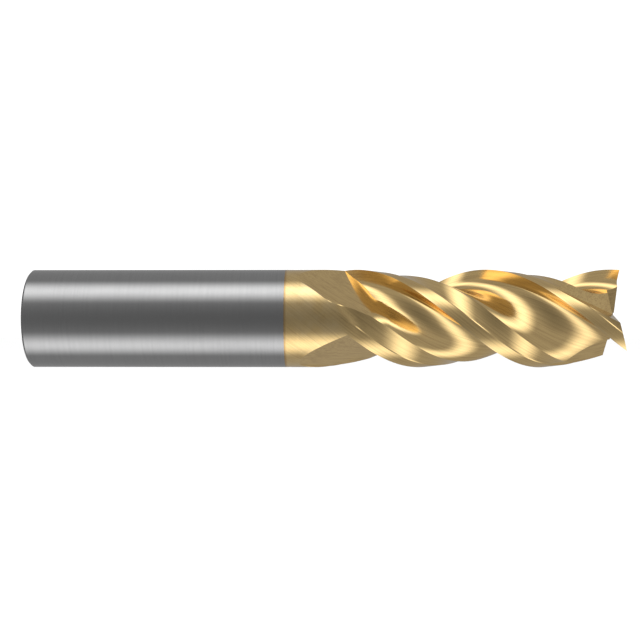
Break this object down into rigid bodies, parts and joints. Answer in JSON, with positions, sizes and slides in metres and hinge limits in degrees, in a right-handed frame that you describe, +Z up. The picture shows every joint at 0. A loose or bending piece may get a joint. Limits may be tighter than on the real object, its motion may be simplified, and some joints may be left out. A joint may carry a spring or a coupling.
{
  "type": "end mill",
  "caption": "Solid carbide square end mill with a plain round shank, a right-hand helix and a gold-coloured coating on its cutting end.",
  "frame": {"origin": "centre of the shank's flat back face", "axes": "+X along the tool's axis from the shank to the cutting end, +Z up"},
  "size_m": [0.0762, 0.0126, 0.0126],
  "materials": {
    "ground_carbide": "fine ground, bright, with faint grinding lines round the shank",
    "gold_coating": "thin hard nitride coating over ground carbide, pale gold, with fine grinding lines along the flutes"
  },
  "bodies": {
    "root": {"shank": "ground_carbide", "runout_collar": "gold_coating", "flute_core": "gold_coating", "tooth_1": "gold_coating", "tooth_2": "gold_coating", "tooth_3": "gold_coating"}
  },
  "joints": []
}
